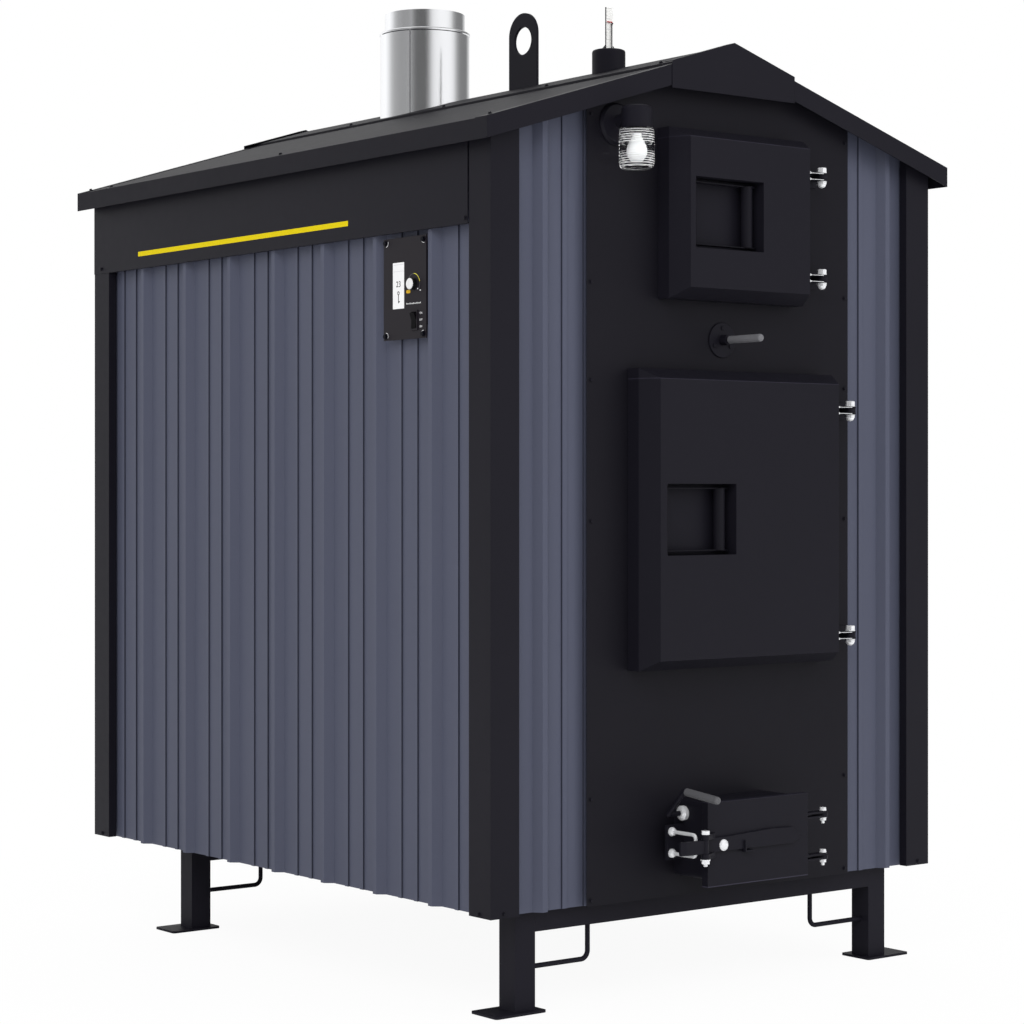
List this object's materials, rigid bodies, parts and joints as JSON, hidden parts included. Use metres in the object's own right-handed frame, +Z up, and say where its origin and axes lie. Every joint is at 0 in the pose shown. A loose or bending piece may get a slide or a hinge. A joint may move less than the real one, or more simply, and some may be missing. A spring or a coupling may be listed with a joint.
{
  "type": "outdoor wood boiler",
  "caption": "Outdoor wood boiler in a ribbed steel casing on legs, with firing, smoke box and ash doors, a pull damper, chimney, lifting lug and water gauge.",
  "frame": {"origin": "on the floor, under the middle of the whole object's box", "axes": "+Z up, the doors face -Y, the side control is on -X"},
  "size_m": [1.528, 2.1064, 2.575],
  "materials": {
    "black": "satin black powder coat",
    "siding": "satin blue-grey coil coating",
    "stainless": "brushed stainless",
    "zinc": "bright zinc",
    "boiler_steel": "plain welded steel",
    "iron": "rough casting",
    "insulation": "fibrous blanket",
    "rope": "woven rope",
    "brass": "plain brass",
    "glass": "clear ribbed glass",
    "white": "white",
    "black_plastic": "black",
    "grip": "grey grip",
    "motor": "grey enamel"
  },
  "bodies": {
    "boiler": {"legs": "black", "tie_rods": "black", "base_frame": "black", "floor_pan": "black", "water_jacket": "boiler_steel", "firebox": "boiler_steel", "grate": "iron", "smoke_box": "boiler_steel", "fire_tubes": "boiler_steel", "flue_box": "boiler_steel", "insulation": "insulation", "water_ports": "brass", "blower": "motor", "siding_left": "siding", "siding_right": "siding", "siding_ends": "siding", "corner_trims": "black", "front_panel": "black", "rear_panel": "black", "sign_board": "black", "sheet_screws": "black", "roof_left": "black", "roof_right": "black", "ridge_cap": "black", "rake_trims": "black", "peak_plates": "black", "lifting_lug": "black", "chimney_pipe": "stainless", "chimney_collar": "stainless", "gauge_cap": "black_plastic", "gauge_scale": "white", "lamp_fixture": "black", "lamp_glass": "glass", "lamp_bulb": "white", "control_plate": "black_plastic", "display_window": "white", "hinge_brackets": "black", "hinge_bolts": "zinc", "damper_escutcheon": "black", "ash_neck": "black", "ash_hardware": "zinc"},
    "fan_wheel": {"blower_wheel": "boiler_steel"},
    "float": {"gauge_float": "stainless"},
    "knob": {"control_knob": "white"},
    "rocker": {"rocker_switch": "black_plastic"},
    "upper_door": {"upper_door_skin": "black", "upper_door_liner": "boiler_steel", "upper_door_gasket": "rope"},
    "upper_handle": {"upper_door_handle": "black"},
    "lower_door": {"lower_door_skin": "black", "lower_door_liner": "boiler_steel", "lower_door_gasket": "rope"},
    "lower_handle": {"lower_door_handle": "black"},
    "damper": {"damper_rod": "black", "damper_grip": "grip"},
    "ash_door": {"ash_door": "black", "ash_door_bolts": "zinc"},
    "latch_arm": {"ash_latch_arm": "black"},
    "lever": {"ash_lever": "black", "ash_lever_grip": "grip"}
  },
  "joints": [
    {"name": "upper_door_swing", "type": "hinge", "parent": "boiler", "child": "upper_door", "pos_m": [0.296, -0.88425, 1.891], "axis": [0, 0, 1], "range_deg": [0, 135]},
    {"name": "upper_handle_pull", "type": "hinge", "parent": "upper_door", "child": "upper_handle", "pos_m": [-0.15, -0.90025, 1.891], "axis": [0, 0, -1], "range_deg": [0, 18]},
    {"name": "lower_door_swing", "type": "hinge", "parent": "boiler", "child": "lower_door", "pos_m": [0.397, -0.88425, 1.153], "axis": [0, 0, 1], "range_deg": [0, 135]},
    {"name": "lower_handle_pull", "type": "hinge", "parent": "lower_door", "child": "lower_handle", "pos_m": [-0.2415, -0.90025, 1.153], "axis": [0, 0, -1], "range_deg": [0, 18]},
    {"name": "ash_door_swing", "type": "hinge", "parent": "boiler", "child": "ash_door", "pos_m": [0.2345, -0.94955, 0.382], "axis": [0, 0, 1], "range_deg": [0, 120]},
    {"name": "latch_arm_swing", "type": "hinge", "parent": "ash_door", "child": "latch_arm", "pos_m": [-0.189, -0.98255, 0.376], "axis": [0, 0, 1], "range_deg": [0, 90]},
    {"name": "lever_turn", "type": "hinge", "parent": "boiler", "child": "lever", "pos_m": [-0.161, -0.87525, 0.444], "axis": [1, 0, 0], "range_deg": [-20, 20]},
    {"name": "damper_pull", "type": "slide", "parent": "boiler", "child": "damper", "axis": [0, -1, 0], "range_m": [0, 0.15]},
    {"name": "knob_turn", "type": "hinge", "parent": "boiler", "child": "knob", "pos_m": [-0.7216, -0.53675, 1.715], "axis": [-1, 0, 0], "range_deg": [0, 270]},
    {"name": "rocker_tilt", "type": "hinge", "parent": "boiler", "child": "rocker", "pos_m": [-0.7213, -0.54125, 1.6285], "axis": [0, 1, 0], "range_deg": [0, 16]},
    {"name": "float_rise", "type": "slide", "parent": "boiler", "child": "float", "axis": [0, 0, 1], "range_m": [-0.03, 0.02]},
    {"name": "fan_spin", "type": "hinge", "parent": "boiler", "child": "fan_wheel", "pos_m": [0, 0.89375, 0.444], "axis": [1, 0, 0], "continuous": true}
  ]
}
